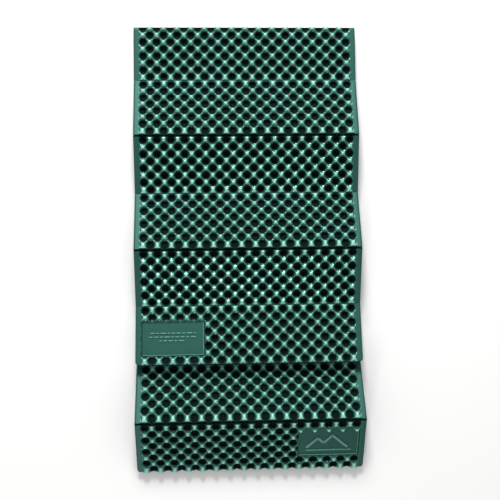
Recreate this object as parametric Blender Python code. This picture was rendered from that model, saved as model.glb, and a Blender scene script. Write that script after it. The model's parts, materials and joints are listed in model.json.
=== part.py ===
"""Accordion-fold foam sleeping pad, folded double with its free end raised.

Fourteen foam panels in one strip, joined edge to edge by thirteen living
hinges that bend to opposite sides in turn. The pad is folded double at the
hinge between panels 8 and 9. Panels 8 down to 1 form the lower layer, and
panels 9 to 14 lie over it in a relaxed zigzag.

Metres, +Z up. +X runs along the hinges and +Y points at the fold. The origin
is the bottom centre of the folded pad.
"""

import math

import bmesh
import bpy
from mathutils import Vector

PAD_WIDTH = 0.508  # along the hinges
PANEL_PITCH = 0.1306  # hinge axis to hinge axis on one panel
BOW_LOSS = 0.0015  # length that a covered lower panel loses as it bows
LAYER_PITCH = 0.010  # two folded panels, middle to middle
FACE_GAP = 0.0004  # between two panels folded face to face
END_GAP = 0.0004  # between two panels laid end to end
HINGE_RELIEF = 0.0020  # corner cut away beside each hinge
STRIP_RADIUS = 0.0012  # quarter-round web of foam on the hinge axis
CORNER_RADIUS = 0.007  # plan corners of the pad's two free ends
CORNER_SEGMENTS = 6
STRIP_SEGMENTS = 6
STRIP_INSET = 0.003  # from the pad's long edge to the end of a hinge web

# Slope of each panel in degrees, from the fold outwards; positive rises.
UPPER_SLOPES = (0.0, 14.0, -14.0, 19.0, -19.0, 10.0)
COVERED_SLOPES = (0.0, 0.0, 0.0, 0.0, 0.0, 0.0)
TENT_SLOPE = 28.5

FOLD_PANEL = 8  # the lower panel at the fold, which holds all the others

PANEL_THICKNESS = LAYER_PITCH - FACE_GAP
AXIS_OFFSET = LAYER_PITCH / 2  # hinge axis to the middle of its panels
FLOOR_LEVEL = -AXIS_OFFSET - PANEL_THICKNESS / 2  # below the fold's axis

TOP, BOTTOM = 1, -1  # the face that a hinge axis lies on


def clear_scene():
    for old in list(bpy.data.objects):
        bpy.data.objects.remove(old, do_unlink=True)


def foam_material(name, colour, roughness):
    material = bpy.data.materials.new(name)
    material.use_nodes = True
    shader = material.node_tree.nodes["Principled BSDF"]
    shader.inputs["Base Color"].default_value = (*colour, 1.0)
    shader.inputs["Roughness"].default_value = roughness
    shader.inputs["Metallic"].default_value = 0.0
    return material


def new_object(name, mesh, material):
    mesh.materials.append(material)
    made = bpy.data.objects.new(name, mesh)
    bpy.context.scene.collection.objects.link(made)
    return made


def extruded(name, outline, half_width):
    """A closed mesh of a (y, z) outline drawn out along X."""
    shape = bmesh.new()
    ring = [shape.verts.new((-half_width, y, z)) for y, z in outline]
    face = shape.faces.new(ring)
    drawn = bmesh.ops.extrude_face_region(shape, geom=[face])
    moved = [item for item in drawn["geom"] if isinstance(item, bmesh.types.BMVert)]
    bmesh.ops.translate(shape, verts=moved, vec=(2 * half_width, 0, 0))
    bmesh.ops.recalc_face_normals(shape, faces=shape.faces)
    mesh = bpy.data.meshes.new(name)
    shape.to_mesh(mesh)
    shape.free()
    return mesh


def round_free_corners(mesh, end_y):
    """Rounds the two upright edges at the panel's free end."""
    shape = bmesh.new()
    shape.from_mesh(mesh)
    upright = []
    for edge in shape.edges:
        a, b = (vertex.co for vertex in edge.verts)
        at_end = abs(a.y - end_y) < END_GAP / 4 and abs(b.y - end_y) < END_GAP / 4
        if at_end and abs(a.x - b.x) < END_GAP / 4:
            upright.append(edge)
    bmesh.ops.bevel(
        shape,
        geom=upright,
        offset=CORNER_RADIUS,
        segments=CORNER_SEGMENTS,
        profile=0.5,
        affect="EDGES",
    )
    shape.to_mesh(mesh)
    shape.free()


def panel_outline(length, middle, start_face, end_face):
    """Side view of a panel that runs from its first hinge axis towards -Y.

    middle is the height of the panel's middle plane over that axis. A corner
    beside a hinge is cut away, and a free end (end_face None) is square.
    """
    half = PANEL_THICKNESS / 2
    near = -END_GAP / 2
    far = -length + END_GAP / 2
    outline = []
    for y, inwards, face, hinged in (
        (near, -1, BOTTOM, start_face == BOTTOM),
        (near, -1, TOP, start_face == TOP),
        (far, 1, TOP, end_face == TOP),
        (far, 1, BOTTOM, end_face == BOTTOM),
    ):
        z = middle + face * half
        beside = (y + inwards * HINGE_RELIEF, z)
        above = (y, z - face * HINGE_RELIEF)
        if not hinged:
            outline.append((y, z))
        elif (face == BOTTOM) == (inwards == -1):
            outline.extend((beside, above))
        else:
            outline.extend((above, beside))
    return outline


def build_panel(number, length, start_face, end_face, material):
    middle = -start_face * AXIS_OFFSET
    name = f"panel_{number:02d}"
    outline = panel_outline(length, middle, start_face, end_face)
    mesh = extruded(name, outline, PAD_WIDTH / 2)
    if end_face is None:
        round_free_corners(mesh, -length + END_GAP / 2)
    return new_object(name, mesh, material)


def strip_outline(face, side):
    """Quarter-round web in its parent's cut corner, flush with face and end.

    side is 1 where the parent lies on the axis's +Y side, and otherwise -1.
    """
    flush_face = FACE_GAP / 2
    flush_end = END_GAP / 2
    start = math.asin(flush_face / STRIP_RADIUS)
    turn = math.acos(flush_end / STRIP_RADIUS) - start
    outline = [(side * flush_end, -face * flush_face)]
    for step in range(STRIP_SEGMENTS + 1):
        angle = start + turn * step / STRIP_SEGMENTS
        y = STRIP_RADIUS * math.cos(angle)
        z = STRIP_RADIUS * math.sin(angle)
        outline.append((side * y, -face * z))
    return outline


def build_strip(lower_number, face, side, material):
    name = f"hinge_{lower_number:02d}_{lower_number + 1:02d}"
    mesh = extruded(name, strip_outline(face, side), PAD_WIDTH / 2 - STRIP_INSET)
    return new_object(name, mesh, material)


def closing_slope(rise):
    """Slope of the last lower panel, whose free end comes down to the floor."""
    ridge = rise - FLOOR_LEVEL
    reach = PANEL_PITCH - END_GAP / 2
    lift = FACE_GAP / 2
    return -math.degrees(
        math.asin(ridge / math.hypot(reach, lift)) + math.atan2(lift, reach)
    )


def lower_slopes():
    slope = math.radians(TENT_SLOPE)
    rise = PANEL_PITCH * math.sin(slope) - LAYER_PITCH * math.cos(slope)
    return (*COVERED_SLOPES, TENT_SLOPE, closing_slope(rise))


def chain(first, step, slopes, first_face, parent, foam, web):
    """Builds one layer outwards from the fold, each panel on the one before.

    first_face is the face of the first panel that the fold's axis lies on.
    The hinges after it lie on the other face and then on each face in turn.
    """
    number, start_face, length_before, slope_before = first, first_face, 0.0, 0.0
    holder, hinge_z = parent, 0.0
    for index, slope in enumerate(slopes):
        covered = step < 0 and index < len(COVERED_SLOPES)
        length = PANEL_PITCH - (BOW_LOSS if covered else 0.0)
        last = index == len(slopes) - 1
        # The hinge at a panel's far end lies on its other face.
        end_face = None if last else -start_face
        panel = build_panel(number, length, start_face, end_face, foam)
        panel.parent = holder
        panel.location = (0, -length_before, hinge_z)
        panel.rotation_euler.x = math.radians(slope_before - slope)
        if not last:
            strip = build_strip(min(number, number + step), end_face, 1, web)
            strip.parent = panel
            hinge_z = -start_face * LAYER_PITCH
            strip.location = (0, -length, hinge_z)
        holder, length_before, slope_before = panel, length, slope
        start_face = end_face
        number += step


def place_on_origin(root):
    """Moves the pad so that its box stands on the origin, centred over it."""
    bpy.context.view_layer.update()
    corners = [
        solid.matrix_world @ Vector(corner)
        for solid in bpy.context.scene.objects
        if solid.type == "MESH"
        for corner in solid.bound_box
    ]
    low = [min(corner[axis] for corner in corners) for axis in range(3)]
    high = [max(corner[axis] for corner in corners) for axis in range(3)]
    root.location = (-(low[0] + high[0]) / 2, -(low[1] + high[1]) / 2, -low[2])


def main():
    clear_scene()
    foam = foam_material("green_foam", (0.012, 0.115, 0.085), 0.55)
    web = foam_material("hinge_foam", (0.020, 0.150, 0.115), 0.5)
    root = bpy.data.objects.new("fold_axis", None)
    bpy.context.scene.collection.objects.link(root)
    chain(FOLD_PANEL, -1, lower_slopes(), TOP, root, foam, web)
    chain(FOLD_PANEL + 1, 1, UPPER_SLOPES, BOTTOM, root, foam, web)
    fold_strip = build_strip(FOLD_PANEL, TOP, -1, web)
    fold_strip.parent = root
    place_on_origin(root)


main()
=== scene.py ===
import json
import math
import bmesh
import bpy
from mathutils import Matrix, Vector

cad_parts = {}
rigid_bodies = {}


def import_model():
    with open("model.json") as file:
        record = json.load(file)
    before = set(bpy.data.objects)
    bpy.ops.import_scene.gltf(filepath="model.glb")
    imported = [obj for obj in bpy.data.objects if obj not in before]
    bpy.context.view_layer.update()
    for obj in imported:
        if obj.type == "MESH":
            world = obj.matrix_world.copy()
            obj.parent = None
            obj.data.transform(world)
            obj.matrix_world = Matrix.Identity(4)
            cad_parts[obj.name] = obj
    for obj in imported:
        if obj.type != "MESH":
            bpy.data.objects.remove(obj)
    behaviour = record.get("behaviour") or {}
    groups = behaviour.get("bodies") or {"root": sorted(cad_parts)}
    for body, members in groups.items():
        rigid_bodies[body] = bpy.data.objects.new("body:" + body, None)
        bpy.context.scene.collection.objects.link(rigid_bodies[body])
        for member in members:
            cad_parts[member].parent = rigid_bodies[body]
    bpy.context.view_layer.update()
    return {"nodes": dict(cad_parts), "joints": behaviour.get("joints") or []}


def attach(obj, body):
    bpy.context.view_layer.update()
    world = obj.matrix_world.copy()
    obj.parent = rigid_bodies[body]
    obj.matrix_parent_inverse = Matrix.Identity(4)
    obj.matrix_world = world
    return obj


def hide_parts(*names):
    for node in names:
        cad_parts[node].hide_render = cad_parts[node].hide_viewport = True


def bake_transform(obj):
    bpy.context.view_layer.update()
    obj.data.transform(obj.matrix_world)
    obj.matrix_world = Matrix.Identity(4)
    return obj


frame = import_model()
print("frame loaded:", len(frame["nodes"]), "nodes")

# what a user would change on the panels; lengths in metres
panelLook = {
    "panelCount": 14,
    "foldPanels": (8, 9),      # below and above the top fold
    "coveredPanels": (3, 4, 5, 6, 7, 8),
    "columns": 31,             # cells across, dimple and bump in turn
    "rows": 8,                 # cells along one panel
    "cellWidth": 0.0155,
    "cellLength": 0.0160,
    "sheet": 0.0068,           # thickness of the foam, measured straight up
    "relief": 0.0066,          # height of a bump, and depth of a dimple
    "marginLevel": 0.24,       # height of the smooth side margins, in reliefs
    "marginBlend": 0.0022,     # slope between a margin and the cells
    "lip": 0.18,               # height of the edge that runs into a hinge, in reliefs
    "lipReach": 0.0018,
    "shadeReach": 0.0022,      # how far the painted shade of a slit runs up the foam
    "wander": 0.07,            # how far a dimple strays from the grid, in cells
    "wanderScale": 28.0,
    "seedStep": 0.37,          # from one panel's wander to the next panel's
    "foldDraw": 0.0060,        # how far the ends at the top fold pull in
    "foldCurl": 0.0060,        # and bend over
    "drawReach": 0.013,
    "sideRound": 0.0036,       # rounding of the long edges
    "endRound": 0.0010,        # rounding at a hinge
    "freeRound": 0.0036,       # rounding at the two free ends
    "cornerRadius": 0.0075,    # plan corners of the free ends
    "squareCorner": 0.0001,    # and of the ends at a hinge
    "slit": 0.0010,            # half of the gap that stays open at a ridge
    # how far a slit lies past its axis, by the panel above it
    "slitShift": {10: 0.0024, 12: 0.0020, 2: 0.0015},
    "leanReach": 0.028,        # how far from a hinge the foam stretches with it
    "leastBend": 0.01,         # in radians; a flatter hinge stretches nothing
    "fineSteps": 12,           # mesh steps to a cell on the panels that show
    "coarseSteps": 6,          # and on the covered ones
    "marginSteps": 10,
    "depthSteps": 4,
    "endSteps": 2,
    "crowding": 0.6,           # how much a margin's steps gather at its two sides
    "endBulge": 0.0002,        # how far a bump stands out of a free end
    "bulgeReach": 0.006,
    "endFall": 0.30,           # 0 lets a bump fall all the way towards an end, 1 not at all
    "sideFall": 0.10,          # the same towards a long edge
    # from a dimple's middle to a bump's tip: (distance in cells, height from 0 to 1)
    "profile": ((0.0, 0.0), (0.30, 0.02), (0.40, 0.08), (0.455, 0.22), (0.50, 0.40), (0.54, 0.50),
                (0.58, 0.56), (0.62, 0.595), (0.66, 0.615), (0.70, 0.635), (0.735, 0.70),
                (0.77, 0.81), (0.81, 0.885), (0.86, 0.94), (0.92, 0.978), (1.0, 1.0)),
}

# recessed plates, placed from the panel's middle and from its first edge; levels in reliefs
plateLook = {
    14: {"centre": -0.170, "halfWidth": 0.0700, "start": 0.0335, "end": 0.1115, "level": -0.42,
         "shallowStart": 0.1140, "shallowEnd": 0.1290},
    1: {"centre": 0.1725, "halfWidth": 0.0680, "start": 0.0215, "end": 0.0960, "level": -0.42,
        "shallowStart": 1.0, "shallowEnd": 0.0},
}
plateEdge = {
    "slope": 0.0022,           # how wide the wall round a plate is
    "scallop": 2.0,            # how far dimples and bumps push its first edge about, in slopes
    "shallowSlope": 0.002,
    "shallowFloor": -0.60,     # the half-filled dimples past a plate
    "underFloor": -0.1,        # no dimple of the underside is deeper than this under a plate
}


# writes sums as nodes
class NodeMaths:
    def __init__(self, tree):
        self.tree = tree

    def do(self, operation, *values):
        node = self.tree.nodes.new("ShaderNodeMath")
        node.operation = operation
        for socket, value in zip(node.inputs, values):
            if isinstance(value, (int, float)):
                socket.default_value = value
            else:
                self.tree.links.new(value, socket)
        return node.outputs[0]

    def add(self, a, b):
        return self.do("ADD", a, b)

    def sub(self, a, b):
        return self.do("SUBTRACT", a, b)

    def mul(self, a, b):
        return self.do("MULTIPLY", a, b)

    def div(self, a, b):
        return self.do("DIVIDE", a, b)

    def low(self, a, b):
        return self.do("MINIMUM", a, b)

    def high(self, a, b):
        return self.do("MAXIMUM", a, b)

    def size(self, a):
        return self.do("ABSOLUTE", a)

    def root(self, a):
        return self.do("SQRT", self.high(a, 0.0))

    def square(self, a):
        return self.do("MULTIPLY", a, a)

    def clamp(self, a, lowest, highest):
        return self.low(self.high(a, lowest), highest)

    def smooth(self, a):
        a = self.clamp(a, 0.0, 1.0)
        return self.mul(self.square(a), self.sub(3.0, self.mul(a, 2.0)))

    def mix(self, a, b, share):
        return self.add(a, self.mul(self.sub(b, a), share))

    def drop(self, distance, radius):
        # how far a rounded edge has fallen at this distance from it
        inside = self.sub(radius, self.low(distance, radius))
        return self.sub(radius, self.root(self.sub(self.square(radius), self.square(inside))))


def panelTree():
    tree = bpy.data.node_groups.new("eggCratePanel", "GeometryNodeTree")
    face = tree.interface
    face.new_socket("Geometry", in_out="INPUT", socket_type="NodeSocketGeometry")
    numbers = ("Width", "Length", "Thickness", "Cell Width", "Cell Length", "Relief",
               "Margin Level", "Margin Blend", "Side Round", "Start Round", "End Round",
               "Start Corner", "End Corner", "Hinge Side", "Start Lean Top", "Start Lean Bottom",
               "End Lean Top", "End Lean Bottom", "Lean Reach", "Plate Centre", "Plate Half Width",
               "Plate Start", "Plate End", "Plate Level", "Plate Slope", "Shallow Start",
               "Shallow End", "Shallow Slope", "Start Curl", "Start Draw", "Draw Reach",
               "Start Shade", "End Shade", "Shade Reach", "Lip", "Start Lip", "End Lip", "Lip Reach",
               "End Fall", "Side Fall", "Start Bulge", "End Bulge", "Bulge Reach", "Wander", "Seed")
    wholes = ("Columns", "Rows", "Cell Steps", "Margin Steps", "End Steps")
    for name in numbers:
        face.new_socket(name, in_out="INPUT", socket_type="NodeSocketFloat")
    for name in wholes:
        face.new_socket(name, in_out="INPUT", socket_type="NodeSocketInt")
    face.new_socket("Material", in_out="INPUT", socket_type="NodeSocketMaterial")
    face.new_socket("Geometry", in_out="OUTPUT", socket_type="NodeSocketGeometry")
    m = NodeMaths(tree)
    given = tree.nodes.new("NodeGroupInput").outputs
    link = tree.links.new

    # a closed block with its grid lines counted, so that cells and margins can be told apart
    cellStepsX = m.mul(given["Columns"], given["Cell Steps"])
    cellStepsY = m.mul(given["Rows"], given["Cell Steps"])
    stepsX = m.add(cellStepsX, m.mul(given["Margin Steps"], 2.0))
    stepsY = m.add(cellStepsY, m.mul(given["End Steps"], 2.0))
    block = tree.nodes.new("GeometryNodeMeshCube")
    link(m.add(stepsX, 1.0), block.inputs["Vertices X"])
    link(m.add(stepsY, 1.0), block.inputs["Vertices Y"])
    block.inputs["Vertices Z"].default_value = panelLook["depthSteps"] + 1
    place = tree.nodes.new("ShaderNodeSeparateXYZ")
    link(tree.nodes.new("GeometryNodeInputPosition").outputs[0], place.inputs[0])
    countX = m.mul(m.add(place.outputs["X"], 0.5), stepsX)
    countY = m.mul(m.sub(0.5, place.outputs["Y"]), stepsY)   # runs away from the panel's start
    level = m.mul(place.outputs["Z"], 2.0)                    # -1 underside, 1 top

    def gathered(share):
        wave = m.do("SINE", m.mul(share, 2 * math.pi))
        return m.sub(share, m.mul(wave, panelLook["crowding"] / (2 * math.pi)))

    def alongSide(count, margin, marginSteps, cellSteps, cell):
        # place from the near edge: margin, cells, margin; steps gather at both sides of a margin
        near = m.clamp(m.div(count, marginSteps), 0.0, 1.0)
        far = m.clamp(m.div(m.sub(count, m.add(marginSteps, cellSteps)), marginSteps), 0.0, 1.0)
        inCells = m.clamp(m.sub(count, marginSteps), 0.0, cellSteps)
        nearLength = m.mul(margin, gathered(near))
        farLength = m.mul(margin, gathered(far))
        cellLength = m.mul(m.div(inCells, given["Cell Steps"]), cell)
        return m.add(m.add(nearLength, cellLength), farLength), m.div(inCells, given["Cell Steps"])

    marginX = m.mul(m.sub(given["Width"], m.mul(given["Columns"], given["Cell Width"])), 0.5)
    marginY = m.mul(m.sub(given["Length"], m.mul(given["Rows"], given["Cell Length"])), 0.5)
    acrossX, cellX = alongSide(countX, marginX, given["Margin Steps"], cellStepsX,
                               given["Cell Width"])
    alongY, cellY = alongSide(countY, marginY, given["End Steps"], cellStepsY, given["Cell Length"])

    # the grid strays a little, as moulded foam does
    spot = tree.nodes.new("ShaderNodeCombineXYZ")
    for value, socket in zip((acrossX, alongY, given["Seed"]), spot.inputs):
        link(value, socket)
    stray = tree.nodes.new("ShaderNodeTexNoise")
    stray.inputs["Scale"].default_value = panelLook["wanderScale"]
    stray.inputs["Detail"].default_value = 0.0
    link(spot.outputs[0], stray.inputs["Vector"])
    strayParts = tree.nodes.new("ShaderNodeSeparateXYZ")
    link(stray.outputs["Color"], strayParts.inputs[0])
    cellX = m.add(cellX, m.mul(given["Wander"], m.sub(strayParts.outputs["X"], 0.5)))
    cellY = m.add(cellY, m.mul(given["Wander"], m.sub(strayParts.outputs["Y"], 0.5)))

    # distance to the nearest dimple of this face: of its own cell, or of the cell next to it
    columnCount = m.clamp(m.do("FLOOR", cellX), 0.0, m.sub(given["Columns"], 1.0))
    rowCount = m.clamp(m.do("FLOOR", cellY), 0.0, m.sub(given["Rows"], 1.0))
    fromX = m.sub(m.sub(cellX, columnCount), 0.5)
    fromY = m.sub(m.sub(cellY, rowCount), 0.5)
    offX, offY = m.size(fromX), m.size(fromY)
    ownDistance = m.root(m.add(m.square(offX), m.square(offY)))

    def missing(count, offset, total):
        # 1 where the next cell on this side lies past the panel's cells
        neighbour = m.add(count, m.do("SIGN", offset))
        before = m.do("LESS_THAN", neighbour, -0.5)
        return m.high(before, m.do("GREATER_THAN", neighbour, m.sub(total, 0.5)))

    beside = m.add(m.square(m.sub(1.0, offX)), m.square(offY))
    pastSide = missing(columnCount, fromX, given["Columns"])
    beside = m.add(beside, m.mul(pastSide, given["Side Fall"]))
    ahead = m.add(m.square(m.sub(1.0, offY)), m.square(offX))
    pastEnd = missing(rowCount, fromY, given["Rows"])
    ahead = m.add(ahead, m.mul(pastEnd, given["End Fall"]))
    otherDistance = m.low(m.root(m.low(beside, ahead)), 1.0)
    topShare = m.mul(m.add(level, 1.0), 0.5)
    bump = m.do("PINGPONG", m.add(columnCount, rowCount), 1.0)    # 1 where the top has a bump

    def profile(distance):
        curve = tree.nodes.new("ShaderNodeFloatCurve")
        points = curve.mapping.curves[0].points
        wanted = panelLook["profile"]
        points[0].location, points[1].location = wanted[0], wanted[-1]
        for point in wanted[1:-1]:
            points.new(*point)
        curve.mapping.update()
        link(distance, curve.inputs["Value"])
        return m.sub(m.mul(curve.outputs["Value"], 2.0), 1.0)

    topWave = profile(m.mix(ownDistance, otherDistance, bump))
    lowWave = profile(m.mix(otherDistance, ownDistance, bump))

    # the moulded plate is flat on top, and the dimples past it are half filled
    centred = m.sub(acrossX, m.mul(given["Width"], 0.5))
    fromCentre = m.size(m.sub(centred, given["Plate Centre"]))
    insideX = m.div(m.sub(given["Plate Half Width"], fromCentre), given["Plate Slope"])
    fromPlateStart = m.div(m.sub(alongY, given["Plate Start"]), given["Plate Slope"])
    scalloped = m.sub(fromPlateStart, m.mul(topWave, plateEdge["scallop"]))
    toPlateEnd = m.div(m.sub(given["Plate End"], alongY), given["Plate Slope"])
    inPlate = m.smooth(m.add(m.low(insideX, m.low(scalloped, toPlateEnd)), 0.5))
    shallowY = m.low(m.sub(alongY, given["Shallow Start"]), m.sub(given["Shallow End"], alongY))
    insideShallow = m.low(insideX, m.div(shallowY, given["Shallow Slope"]))
    inShallow = m.smooth(m.add(insideShallow, 0.5))
    topWave = m.mix(topWave, m.high(topWave, plateEdge["shallowFloor"]), inShallow)
    topWave = m.mix(topWave, given["Plate Level"], inPlate)
    lowWave = m.mix(lowWave, m.high(lowWave, plateEdge["underFloor"]), inPlate)

    # smooth margins along the sides, and a lip where the foam runs into its hinge
    edgeX = m.low(acrossX, m.sub(given["Width"], acrossX))
    edgeEnd = m.sub(given["Length"], alongY)
    inMargin = m.clamp(m.sub(1.0, m.div(edgeX, marginX)), 0.0, 1.0)
    smoothMargin = m.smooth(m.div(m.mul(inMargin, marginX), given["Margin Blend"]))

    def nearEdge(distance, reach):
        # 1 at the edge, falling smoothly to 0 at the reach
        return m.smooth(m.sub(1.0, m.div(distance, reach)))

    startLip = m.mul(given["Start Lip"], nearEdge(alongY, given["Lip Reach"]))
    endLip = m.mul(given["End Lip"], nearEdge(edgeEnd, given["Lip Reach"]))
    hingeUp = m.mul(m.add(given["Hinge Side"], 1.0), 0.5)
    topLip = m.mix(endLip, startLip, hingeUp)
    lowLip = m.mix(startLip, endLip, hingeUp)
    topWave = m.mix(m.mix(topWave, given["Margin Level"], smoothMargin), given["Lip"], topLip)
    lowWave = m.mix(m.mix(lowWave, given["Margin Level"], smoothMargin), given["Lip"], lowLip)

    # rounded edges thin the slab
    endDrop = m.high(m.drop(alongY, given["Start Round"]), m.drop(edgeEnd, given["End Round"]))
    fall = m.high(m.drop(edgeX, given["Side Round"]), endDrop)
    halfSheet = m.mul(given["Thickness"], 0.5)
    topHeight = m.sub(m.add(halfSheet, m.mul(topWave, given["Relief"])), fall)
    lowHeight = m.sub(fall, m.add(halfSheet, m.mul(lowWave, given["Relief"])))

    # the ends at the top fold bend over towards each other
    nearStart = m.clamp(m.sub(1.0, m.div(alongY, given["Draw Reach"])), 0.0, 1.0)
    curl = m.square(nearStart)
    topHeight = m.sub(topHeight, m.mul(m.high(given["Start Curl"], 0.0), curl))
    lowHeight = m.sub(lowHeight, m.mul(m.low(given["Start Curl"], 0.0), curl))
    height = m.mix(lowHeight, topHeight, topShare)

    # painted shade: the face away from a hinge is darkened where it runs into the slit
    awayFromStart = m.mix(topShare, m.sub(1.0, topShare), hingeUp)
    startShade = m.mul(given["Start Shade"], awayFromStart)
    startShade = m.mul(startShade, nearEdge(alongY, given["Shade Reach"]))
    endShade = m.mul(given["End Shade"], m.sub(1.0, awayFromStart))
    endShade = m.mul(endShade, nearEdge(edgeEnd, given["Shade Reach"]))
    shade = m.high(startShade, endShade)
    plainSkin = m.high(smoothMargin, m.mul(inPlate, topShare))
    wave = m.mix(lowWave, topWave, topShare)
    relief = m.sub(m.mix(wave, given["Margin Level"], plainSkin), m.mul(shade, 2.0))
    plainSkin = m.mul(plainSkin, m.sub(1.0, shade))

    # plan corners of a free end, drawn in within the smooth margin
    inset = m.high(m.drop(alongY, given["Start Corner"]), m.drop(edgeEnd, given["End Corner"]))
    drawnIn = m.mul(m.do("SIGN", centred), m.mul(inset, inMargin))
    finalX = m.sub(centred, drawnIn)

    # the ends lean into a bent hinge
    def lean(distance, top, bottom):
        reach = m.square(m.clamp(m.sub(1.0, m.div(distance, given["Lean Reach"])), 0.0, 1.0))
        return m.mul(reach, m.mix(bottom, top, topShare))

    finalY = m.sub(lean(alongY, given["Start Lean Top"], given["Start Lean Bottom"]),
                   m.add(alongY, lean(edgeEnd, given["End Lean Top"], given["End Lean Bottom"])))
    finalY = m.sub(finalY, m.mul(given["Start Draw"], curl))

    # bumps stand out of a free end
    def bulge(distance, amount):
        return m.mul(m.mul(amount, wave), nearEdge(distance, given["Bulge Reach"]))

    startBulge = bulge(alongY, given["Start Bulge"])
    finalY = m.add(finalY, m.sub(startBulge, bulge(edgeEnd, given["End Bulge"])))

    join = tree.nodes.new("ShaderNodeCombineXYZ")
    for value, socket in zip((finalX, finalY, height), join.inputs):
        link(value, socket)

    # the material reads these two
    def keep(geometry, name, value):
        store = tree.nodes.new("GeometryNodeStoreNamedAttribute")
        store.data_type = "FLOAT"
        store.domain = "POINT"
        store.inputs["Name"].default_value = name
        link(geometry, store.inputs["Geometry"])
        link(value, store.inputs["Value"])
        return store.outputs["Geometry"]

    geometry = keep(block.outputs["Mesh"], "relief", relief)
    geometry = keep(geometry, "skin", plainSkin)
    move = tree.nodes.new("GeometryNodeSetPosition")
    link(geometry, move.inputs["Geometry"])
    link(join.outputs[0], move.inputs["Position"])
    smoothFaces = tree.nodes.new("GeometryNodeSetShadeSmooth")
    link(move.outputs["Geometry"], smoothFaces.inputs["Geometry"])
    real = tree.nodes.new("GeometryNodeRealizeInstances")
    link(smoothFaces.outputs["Geometry"], real.inputs["Geometry"])
    paint = tree.nodes.new("GeometryNodeSetMaterial")
    link(real.outputs["Geometry"], paint.inputs["Geometry"])
    link(given["Material"], paint.inputs["Material"])
    link(paint.outputs["Geometry"], tree.nodes.new("NodeGroupOutput").inputs["Geometry"])
    return tree


def makeFromTree(tree, name, values, toWorld):
    # runs the tree once and keeps its result as a plain mesh
    holder = bpy.data.objects.new(name + "Source", bpy.data.meshes.new(name + "Source"))
    bpy.context.scene.collection.objects.link(holder)
    modifier = holder.modifiers.new("build", "NODES")
    modifier.node_group = tree
    for item in tree.interface.items_tree:
        if item.in_out == "INPUT" and item.name in values:
            modifier[item.identifier] = values[item.name]
    holder.update_tag()
    graph = bpy.context.evaluated_depsgraph_get()
    mesh = bpy.data.meshes.new_from_object(holder.evaluated_get(graph),
                                           preserve_all_data_layers=True, depsgraph=graph)
    holder.modifiers.clear()
    bpy.data.objects.remove(holder)
    mesh.name = name
    mesh.transform(toWorld)
    made = bpy.data.objects.new(name, mesh)
    bpy.context.scene.collection.objects.link(made)
    return made


# where each panel lies, read from the frame
def panelPlace(number):
    mesh = frame["nodes"][f"panel_{number:02d}"].data
    widest = max(mesh.polygons, key=lambda polygon: polygon.area)
    up = widest.normal.copy()
    if up.z < 0:
        up.negate()
    back = up.cross(Vector((1, 0, 0))).normalized()   # towards the fold
    along = [vertex.co.dot(back) for vertex in mesh.vertices]
    high = [vertex.co.dot(up) for vertex in mesh.vertices]
    across = [vertex.co.x for vertex in mesh.vertices]
    origin = back * max(along) + up * ((max(high) + min(high)) / 2)
    toWorld = Matrix((
        (1, back.x, up.x, (max(across) + min(across)) / 2),
        (0, back.y, up.y, origin.y),
        (0, back.z, up.z, origin.z),
        (0, 0, 0, 1),
    ))
    return {
        "toWorld": toWorld,
        "width": max(across) - min(across),
        "length": max(along) - min(along),
        "thickness": max(high) - min(high),
        "slope": math.asin(up.y),
    }


places = {number: panelPlace(number) for number in range(1, panelLook["panelCount"] + 1)}


foamLook = {
    # colour by height, 0 at the floor of a dimple and 1 at the tip of a bump: the near black low in
    # the dimples is painted shade, the pale tips and rims are a painted highlight, and the teal
    # between is the foam's own colour
    "stops": ((0.0, (0.0006, 0.0030, 0.0026)), (0.26, (0.0012, 0.0075, 0.0068)),
              (0.42, (0.0080, 0.0340, 0.0300)), (0.54, (0.0250, 0.0750, 0.0630)),
              (0.65, (0.0390, 0.1080, 0.0900)), (0.77, (0.1150, 0.2500, 0.2150)),
              (0.88, (0.1950, 0.3650, 0.3230)), (1.0, (0.2200, 0.4000, 0.3580))),
    "skinColour": (0.0190, 0.0660, 0.0565),   # smooth margins and plates
    "mottle": 0.16,            # how far patches shift the colour, in reliefs
    "patchScale": 9.0,
    "patchDetail": 3.0,
    "roughness": 0.22,         # on the bumps
    "dimpleRoughness": 0.95,
    "mattBelow": -0.60,        # heights between which the foam turns glossy, in reliefs
    "glossAbove": -0.10,
    "skinRoughness": 0.55,
    "specular": 0.65,
    "specularTint": (0.56, 1.0, 0.89),
    "sheen": 0.03,
    "sheenRoughness": 0.4,
    "grain": 420.0,            # fine cells of the foam
    "grainStrength": 0.25,
    "grainDepth": 0.0006,
}


def newMaterial(name):
    material = bpy.data.materials.new(name)
    material.use_nodes = True
    nodes = material.node_tree.nodes
    return material, nodes, material.node_tree.links.new, nodes["Principled BSDF"]


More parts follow.
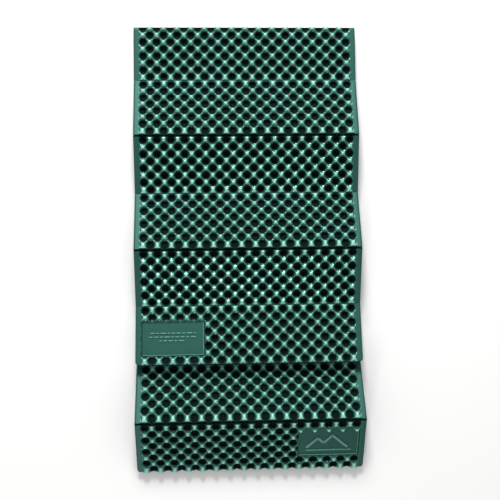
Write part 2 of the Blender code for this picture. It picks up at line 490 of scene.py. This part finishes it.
def foamMaterial(name, look):
    material, nodes, link, shader = newMaterial(name)
    coords = nodes.new("ShaderNodeTexCoord").outputs["Object"]
    relief = nodes.new("ShaderNodeAttribute")
    relief.attribute_name = "relief"
    patches = nodes.new("ShaderNodeTexNoise")
    patches.inputs["Scale"].default_value = look["patchScale"]
    patches.inputs["Detail"].default_value = look["patchDetail"]
    link(coords, patches.inputs["Vector"])
    cells = nodes.new("ShaderNodeTexVoronoi")
    cells.inputs["Scale"].default_value = look["grain"]
    link(coords, cells.inputs["Vector"])
    mottle = nodes.new("ShaderNodeMath")          # relief, pushed up and down by the patches
    mottle.operation = "MULTIPLY_ADD"
    link(patches.outputs["Fac"], mottle.inputs[0])
    mottle.inputs[1].default_value = look["mottle"]
    shifted = nodes.new("ShaderNodeMath")
    shifted.operation = "ADD"
    link(relief.outputs["Fac"], shifted.inputs[0])
    shifted.inputs[1].default_value = -look["mottle"] / 2
    link(shifted.outputs[0], mottle.inputs[2])
    spread = nodes.new("ShaderNodeMapRange")
    spread.inputs["From Min"].default_value = -1.0
    spread.inputs["From Max"].default_value = 1.0
    link(mottle.outputs[0], spread.inputs["Value"])
    # height ramp: painted shade down in the dimples, painted highlight on the bump tips
    ramp = nodes.new("ShaderNodeValToRGB")
    stops = ramp.color_ramp.elements
    stops[0].position, stops[1].position = look["stops"][0][0], look["stops"][-1][0]
    for place, colour in look["stops"][1:-1]:
        stops.new(place)
    for stop, (place, colour) in zip(stops, look["stops"]):
        stop.color = (*colour, 1)
    link(spread.outputs["Result"], ramp.inputs["Fac"])
    rough = nodes.new("ShaderNodeMapRange")       # matt down in the dimples, glossier on the bumps
    rough.inputs["From Min"].default_value = look["mattBelow"]
    rough.inputs["From Max"].default_value = look["glossAbove"]
    rough.inputs["To Min"].default_value = look["dimpleRoughness"]
    rough.inputs["To Max"].default_value = look["roughness"]
    link(mottle.outputs[0], rough.inputs["Value"])
    skin = nodes.new("ShaderNodeAttribute")
    skin.attribute_name = "skin"
    # the height ramp's painted shade and highlight, mixed with the plain skin colour of margins and
    # plates
    paintedLightAndSkin = nodes.new("ShaderNodeMix")
    paintedLightAndSkin.data_type = "RGBA"
    link(skin.outputs["Fac"], paintedLightAndSkin.inputs["Factor"])
    link(ramp.outputs["Color"], paintedLightAndSkin.inputs["A"])
    paintedLightAndSkin.inputs["B"].default_value = (*look["skinColour"], 1)
    link(paintedLightAndSkin.outputs["Result"], shader.inputs["Base Color"])
    finish = nodes.new("ShaderNodeMix")
    finish.inputs["B"].default_value = look["skinRoughness"]
    link(skin.outputs["Fac"], finish.inputs["Factor"])
    link(rough.outputs["Result"], finish.inputs["A"])
    link(finish.outputs["Result"], shader.inputs["Roughness"])
    bump = nodes.new("ShaderNodeBump")
    bump.inputs["Strength"].default_value = look["grainStrength"]
    bump.inputs["Distance"].default_value = look["grainDepth"]
    link(cells.outputs["Distance"], bump.inputs["Height"])
    link(bump.outputs["Normal"], shader.inputs["Normal"])
    shader.inputs["Specular IOR Level"].default_value = look["specular"]
    shader.inputs["Specular Tint"].default_value = (*look["specularTint"], 1)
    shader.inputs["Sheen Weight"].default_value = look["sheen"]
    shader.inputs["Sheen Roughness"].default_value = look["sheenRoughness"]
    return material


foam = foamMaterial("greenFoam", foamLook)


def bendBetween(first, second):
    return abs(places[first]["slope"] - places[second]["slope"])


def panelValues(number):
    look = panelLook
    place = places[number]
    upperFold = look["foldPanels"][1]
    upper = number >= upperFold
    towardsFold = number - 1 if upper else number + 1
    awayFromFold = number + 1 if upper else number - 1
    startOnTop = (number % 2 == 0)     # the face that its first hinge lies on
    steps = look["coarseSteps"] if number in look["coveredPanels"] else look["fineSteps"]
    values = {
        "Width": place["width"], "Length": place["length"], "Thickness": look["sheet"],
        "Columns": look["columns"], "Rows": look["rows"],
        "Cell Width": look["cellWidth"], "Cell Length": look["cellLength"],
        "Relief": look["relief"],
        "Margin Level": look["marginLevel"], "Margin Blend": look["marginBlend"],
        "Side Round": look["sideRound"],
        "Start Round": look["endRound"], "End Round": look["endRound"],
        "Start Corner": look["squareCorner"], "End Corner": look["squareCorner"],
        "Hinge Side": 1.0 if startOnTop else -1.0, "Lean Reach": look["leanReach"],
        # no plate and no shallow dimples: their ends come before their starts
        "Plate Half Width": -1.0, "Plate Start": 1.0, "Plate End": 0.0,
        "Shallow Start": 1.0, "Shallow End": 0.0,
        "Plate Slope": plateEdge["slope"], "Shallow Slope": plateEdge["shallowSlope"],
        "Start Shade": 1.0, "End Shade": 1.0, "Shade Reach": look["shadeReach"],
        "Lip": look["lip"], "Start Lip": 1.0, "End Lip": 1.0, "Lip Reach": look["lipReach"],
        "End Fall": look["endFall"], "Side Fall": look["sideFall"],
        "Start Bulge": 0.0, "End Bulge": 0.0, "Bulge Reach": look["bulgeReach"],
        "Draw Reach": look["drawReach"],
        "Wander": look["wander"], "Seed": look["seedStep"] * number,
        "Cell Steps": steps, "Margin Steps": look["marginSteps"], "End Steps": look["endSteps"],
        "Material": foam,
    }
    # from a hinge's axis to the skin of the face away from it
    reach = place["thickness"] / 2 + look["sheet"] / 2 + look["marginLevel"] * look["relief"]

    def leans(neighbour):
        above, below = (number, 1) if number in look["slitShift"] else (neighbour, -1)
        bend = bendBetween(number, neighbour)
        if bend < look["leastBend"]:
            return 0.0
        shift = look["slitShift"].get(above, 0.0) * below
        return reach * math.tan(bend / 2) + shift - look["slit"]

    if number in look["foldPanels"]:
        values["Start Curl"] = look["foldCurl"] if number == upperFold else -look["foldCurl"]
        values["Start Draw"] = look["foldDraw"]
        values["Start Round"] = look["freeRound"]
        values["Start Shade"] = 0.0
        values["Start Bulge"] = look["endBulge"]
    else:
        values["Start Lean Bottom" if startOnTop else "Start Lean Top"] = leans(towardsFold)
    if not 1 <= awayFromFold <= look["panelCount"]:
        values["End Round"] = look["freeRound"]
        values["End Corner"] = look["cornerRadius"]
        values["End Shade"] = values["End Lip"] = 0.0
        values["End Bulge"] = look["endBulge"]
    else:
        # the far hinge lies on the other face
        values["End Lean Top" if startOnTop else "End Lean Bottom"] = leans(awayFromFold)
    if number in plateLook:
        plate = plateLook[number]
        values.update({"Plate Centre": plate["centre"], "Plate Half Width": plate["halfWidth"],
                       "Plate Start": plate["start"], "Plate End": plate["end"],
                       "Plate Level": plate["level"], "Shallow Start": plate["shallowStart"],
                       "Shallow End": plate["shallowEnd"]})
    return values


tree = panelTree()
panels = {}
for number in places:
    name = f"foam_panel_{number:02d}"
    panels[number] = makeFromTree(tree, name, panelValues(number), places[number]["toWorld"])
print("panels made:", sum(len(panel.data.polygons) for panel in panels.values()), "faces")

for number, panel in panels.items():
    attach(panel, f"panel_{number:02d}")
    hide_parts(f"panel_{number:02d}")


webLook = {
    "reach": 0.0016,           # how far the web runs on to each panel
    "thickness": 0.0009,
    "proud": 0.0001,           # out of the faces that it joins
    "sideInset": 0.0008,
    "steps": (1.0, 0.55, 0.2, 0.0),   # points of its section, in shares of the reach
    "relief": 0.34,            # coloured like the shoulder of a bump
    "foldInner": 0.2,          # inner side of the top fold's web, as a share of the outer side
    "bendReach": 0.0012,       # how far from the axis the bending starts
    "foldBendReach": 0.0006,
}


def fillAttribute(mesh, name, value):
    attribute = mesh.attributes.new(name, "FLOAT", "POINT")
    attribute.data.foreach_set("value", [value] * len(mesh.vertices))


def hingeWeb(joint):
    look = webLook
    parent, child = int(joint["parent"][-2:]), int(joint["child"][-2:])
    axis = Vector(joint["pos_m"])
    atFold = {parent, child} == set(panelLook["foldPanels"])

    def sideOf(number):
        # the way from the axis into the panel, and out of the face that the web lies on
        back = Vector(places[number]["toWorld"].col[1][:3])
        up = Vector(places[number]["toWorld"].col[2][:3])
        middle = Vector(places[number]["toWorld"].translation) - back * places[number]["length"] / 2
        into = -back if (middle - axis).dot(back) < 0 else back
        outward = up if (middle - axis).dot(up) < 0 else -up
        return into, outward

    intoA, outA = sideOf(parent)
    intoB, outB = sideOf(child)
    outer, inner = [], []
    draw = Vector((0, -panelLook["foldDraw"], 0)) if atFold else Vector((0, 0, 0))
    steps = [(intoA, outA, share) for share in look["steps"]]
    steps += [(intoB, outB, share) for share in reversed(look["steps"][:-1])]
    for into, outward, share in steps:
        place = axis + draw + into * look["reach"] * share
        if atFold:
            # the web turns round inside the fold
            turned = Vector((0, look["thickness"], 0))
            lean = outward * look["thickness"] * -0.5 if share else turned
            outer.append(place + lean)
            inner.append(place + lean * look["foldInner"])
        else:
            normal = (outward + (outA + outB) * (1 - share)).normalized()
            outer.append(place + normal * look["proud"])
            inner.append(place + normal * (look["proud"] - look["thickness"]))
    ring = outer + inner[::-1]
    half = places[parent]["width"] / 2 - look["sideInset"]
    vertices = [(x, point.y, point.z) for x in (-half, half) for point in ring]
    count = len(ring)
    last = len(outer) - 1
    faces = [(i, (i + 1) % count, count + (i + 1) % count, count + i) for i in range(count)]
    for i in range(last):
        near = (i, count - 1 - i, count - 2 - i, i + 1)
        faces.append(near)
        faces.append(tuple(count + index for index in reversed(near)))
    low, high = min(parent, child), max(parent, child)
    mesh = bpy.data.meshes.new(f"hinge_web_{low:02d}_{high:02d}")
    mesh.from_pydata(vertices, [], faces)
    turnOut(mesh)
    fillAttribute(mesh, "relief", look["relief"])
    fillAttribute(mesh, "skin", 1.0)
    mesh.materials.append(foam)
    web = bpy.data.objects.new(mesh.name, mesh)
    bpy.context.scene.collection.objects.link(web)
    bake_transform(web)
    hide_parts(f"hinge_{low:02d}_{high:02d}")
    return web


def turnOut(mesh):
    work = bmesh.new()
    work.from_mesh(mesh)
    bmesh.ops.recalc_face_normals(work, faces=work.faces)
    work.to_mesh(mesh)
    work.free()


webs = [hingeWeb(joint) for joint in frame["joints"]]
print("hinge webs made:", len(webs))


# raised marks on the two plates
markLook = {
    "height": 0.0018,
    "sink": 0.0004,            # how far they start below the plate's floor
    "section": ((0.0, 0.5), (0.75, 0.47), (1.0, 0.34)),   # shares of height, half widths
    "roundSteps": 4,           # at each end of a bar
    "lineWidth": 0.0032,
    "dashPlate": 14,           # the plate with rows of dashes; the other has the peaks
    "dash": (0.0075, 0.0045, 0.0100, 0.0035, 0.0060),   # lengths, taken in turn
    "shortestDash": 0.003,
    "gap": 0.0022,
    "lines": ((0.0600, 0.050), (0.0685, 0.053), (0.0770, 0.030)),  # place along, half width
    "peakWidth": 0.0062,
    "peakRise": 0.0003,        # past the other marks
    "peaks": ((-0.048, -0.013), (-0.024, 0.012), (-0.011, -0.002), (0.008, 0.019),
              (0.041, -0.013)),
    "underline": ((-0.050, -0.0215), (0.050, -0.0215)),
    "frameWidth": 0.0018,
    "frameInset": {"side": 0.003, "foot": 0.0025, "top": 0.004, "corner": 0.0003},
    # the marks take the pale colour of a bump's tip: a painted highlight
    "relief": 0.7,
    "skin": 0.4,
}


def bar(work, start, end, width, low, high):
    # a rounded bar from start to end, lying on the plate
    start, end = Vector(start), Vector(end)
    along = (end - start).normalized()
    across = Vector((-along.y, along.x))
    steps = markLook["roundSteps"]
    rings = []
    for share, radius in markLook["section"]:
        level = low + share * (high - low)
        ring = []
        for centre, turn in ((end, -90), (start, 90)):
            for step in range(steps + 1):
                angle = math.radians(turn + 180 / steps * step)
                out = (along * math.cos(angle) + across * math.sin(angle)) * radius * width
                ring.append(work.verts.new((centre.x + out.x, centre.y + out.y, level)))
        rings.append(ring)
    count = len(rings[0])
    for lower, upper in zip(rings, rings[1:]):
        for i in range(count):
            after = (i + 1) % count
            work.faces.new((lower[i], lower[after], upper[after], upper[i]))
    work.faces.new(rings[-1])
    work.faces.new(rings[0][::-1])


def plateMarks(number):
    look, plate = markLook, plateLook[number]
    floorLevel = panelLook["sheet"] / 2 + plate["level"] * panelLook["relief"]
    low, high = floorLevel - look["sink"], floorLevel + look["height"]
    work = bmesh.new()
    if number == look["dashPlate"]:
        dashCount = 0
        for along, half in look["lines"]:
            x = plate["centre"] - half
            while x < plate["centre"] + half - look["shortestDash"]:
                length = look["dash"][dashCount % len(look["dash"])]
                stop = min(x + length, plate["centre"] + half)
                bar(work, (x, -along), (stop, -along), look["lineWidth"], low, high)
                x = stop + look["gap"] + look["lineWidth"]
                dashCount += 1
    else:
        middle = -(plate["start"] + plate["end"]) / 2
        points = [(plate["centre"] + x, middle + y) for x, y in look["peaks"]]
        for start, end in zip(points, points[1:]):
            bar(work, start, end, look["peakWidth"], low, high + look["peakRise"])
        start, end = [(plate["centre"] + x, middle + y) for x, y in look["underline"]]
        bar(work, start, end, look["lineWidth"], low, high)
    inset = look["frameInset"]
    left = plate["centre"] - plate["halfWidth"] + inset["side"]
    right = plate["centre"] + plate["halfWidth"] - inset["side"]
    foot, top = -plate["end"] + inset["foot"], -plate["start"] - inset["top"]
    bar(work, (left, foot), (right, foot), look["frameWidth"], low, high)
    bar(work, (right, foot + inset["corner"]), (right, top), look["frameWidth"], low, high)
    mesh = bpy.data.meshes.new(f"plate_marks_{number:02d}")
    work.to_mesh(mesh)
    work.free()
    mesh.transform(places[number]["toWorld"])
    turnOut(mesh)
    # painted highlight: the marks, frame bars too, are coloured paler than the plate
    fillAttribute(mesh, "relief", look["relief"])
    fillAttribute(mesh, "skin", look["skin"])
    mesh.materials.append(foam)
    marks = bpy.data.objects.new(mesh.name, mesh)
    bpy.context.scene.collection.objects.link(marks)
    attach(marks, f"panel_{number:02d}")


for number in plateLook:
    plateMarks(number)
print("plate marks made")


# floor, light and camera
studio = {
    "floorColour": (0.60, 0.60, 0.596),
    "floorRoughness": 0.9,
    "floorSize": 12.0,
    "keyPower": 132.0,
    "keyPlace": (-0.2, 2.9, 2.15),
    "keySize": 1.0,
    "fillPower": 17.0,
    "fillPlace": (-0.6, -2.8, 1.35),
    "fillSize": 0.4,
    "worldStrength": 0.60,
    "sensor": 36.0,                # this and the lens in millimetres
    "lens": 58.8168,
    "clip": (0.05, 50),
    "eye": (-0.0877, -0.0915, 1.8654),
    "turn": (2.484, -2.860, -0.700),   # in degrees
}


def makeFloor(level):
    size = studio["floorSize"] / 2
    mesh = bpy.data.meshes.new("floor")
    corners = [(x * size, y * size, level) for x, y in ((-1, -1), (1, -1), (1, 1), (-1, 1))]
    mesh.from_pydata(corners, [], [(0, 1, 2, 3)])
    floor = bpy.data.objects.new("floor", mesh)
    bpy.context.scene.collection.objects.link(floor)
    material, nodes, link, shader = newMaterial("paleFloor")
    shader.inputs["Base Color"].default_value = (*studio["floorColour"], 1)
    shader.inputs["Roughness"].default_value = studio["floorRoughness"]
    mesh.materials.append(material)


def softLight(name):
    data = bpy.data.lights.new(name, "AREA")
    data.energy = studio[name + "Power"]
    data.size = studio[name + "Size"]
    light = bpy.data.objects.new(name, data)
    light.location = studio[name + "Place"]
    light.rotation_euler = (-Vector(studio[name + "Place"])).to_track_quat("-Z", "Y").to_euler()
    bpy.context.scene.collection.objects.link(light)


def makeLight():
    softLight("key")
    softLight("fill")
    world = bpy.data.worlds.new("studio")
    world.use_nodes = True
    sky = world.node_tree.nodes["Background"]
    sky.inputs["Color"].default_value = (1, 1, 1, 1)
    sky.inputs["Strength"].default_value = studio["worldStrength"]
    bpy.context.scene.world = world


def makeCamera():
    data = bpy.data.cameras.new("camera")
    data.sensor_width = studio["sensor"]
    data.lens = studio["lens"]
    data.clip_start, data.clip_end = studio["clip"]
    camera = bpy.data.objects.new("camera", data)
    camera.rotation_mode = "ZYX"
    camera.location = studio["eye"]
    camera.rotation_euler = [math.radians(angle) for angle in studio["turn"]]
    bpy.context.scene.collection.objects.link(camera)
    bpy.context.scene.camera = camera


bpy.context.scene.view_settings.view_transform = "Standard"
bpy.context.scene.view_settings.look = "High Contrast"
lowestPanel = panels[panelLook["foldPanels"][0]]
makeFloor(min(vertex.co.z for vertex in lowestPanel.data.vertices))
makeLight()
makeCamera()
print("floor, light and camera ready")
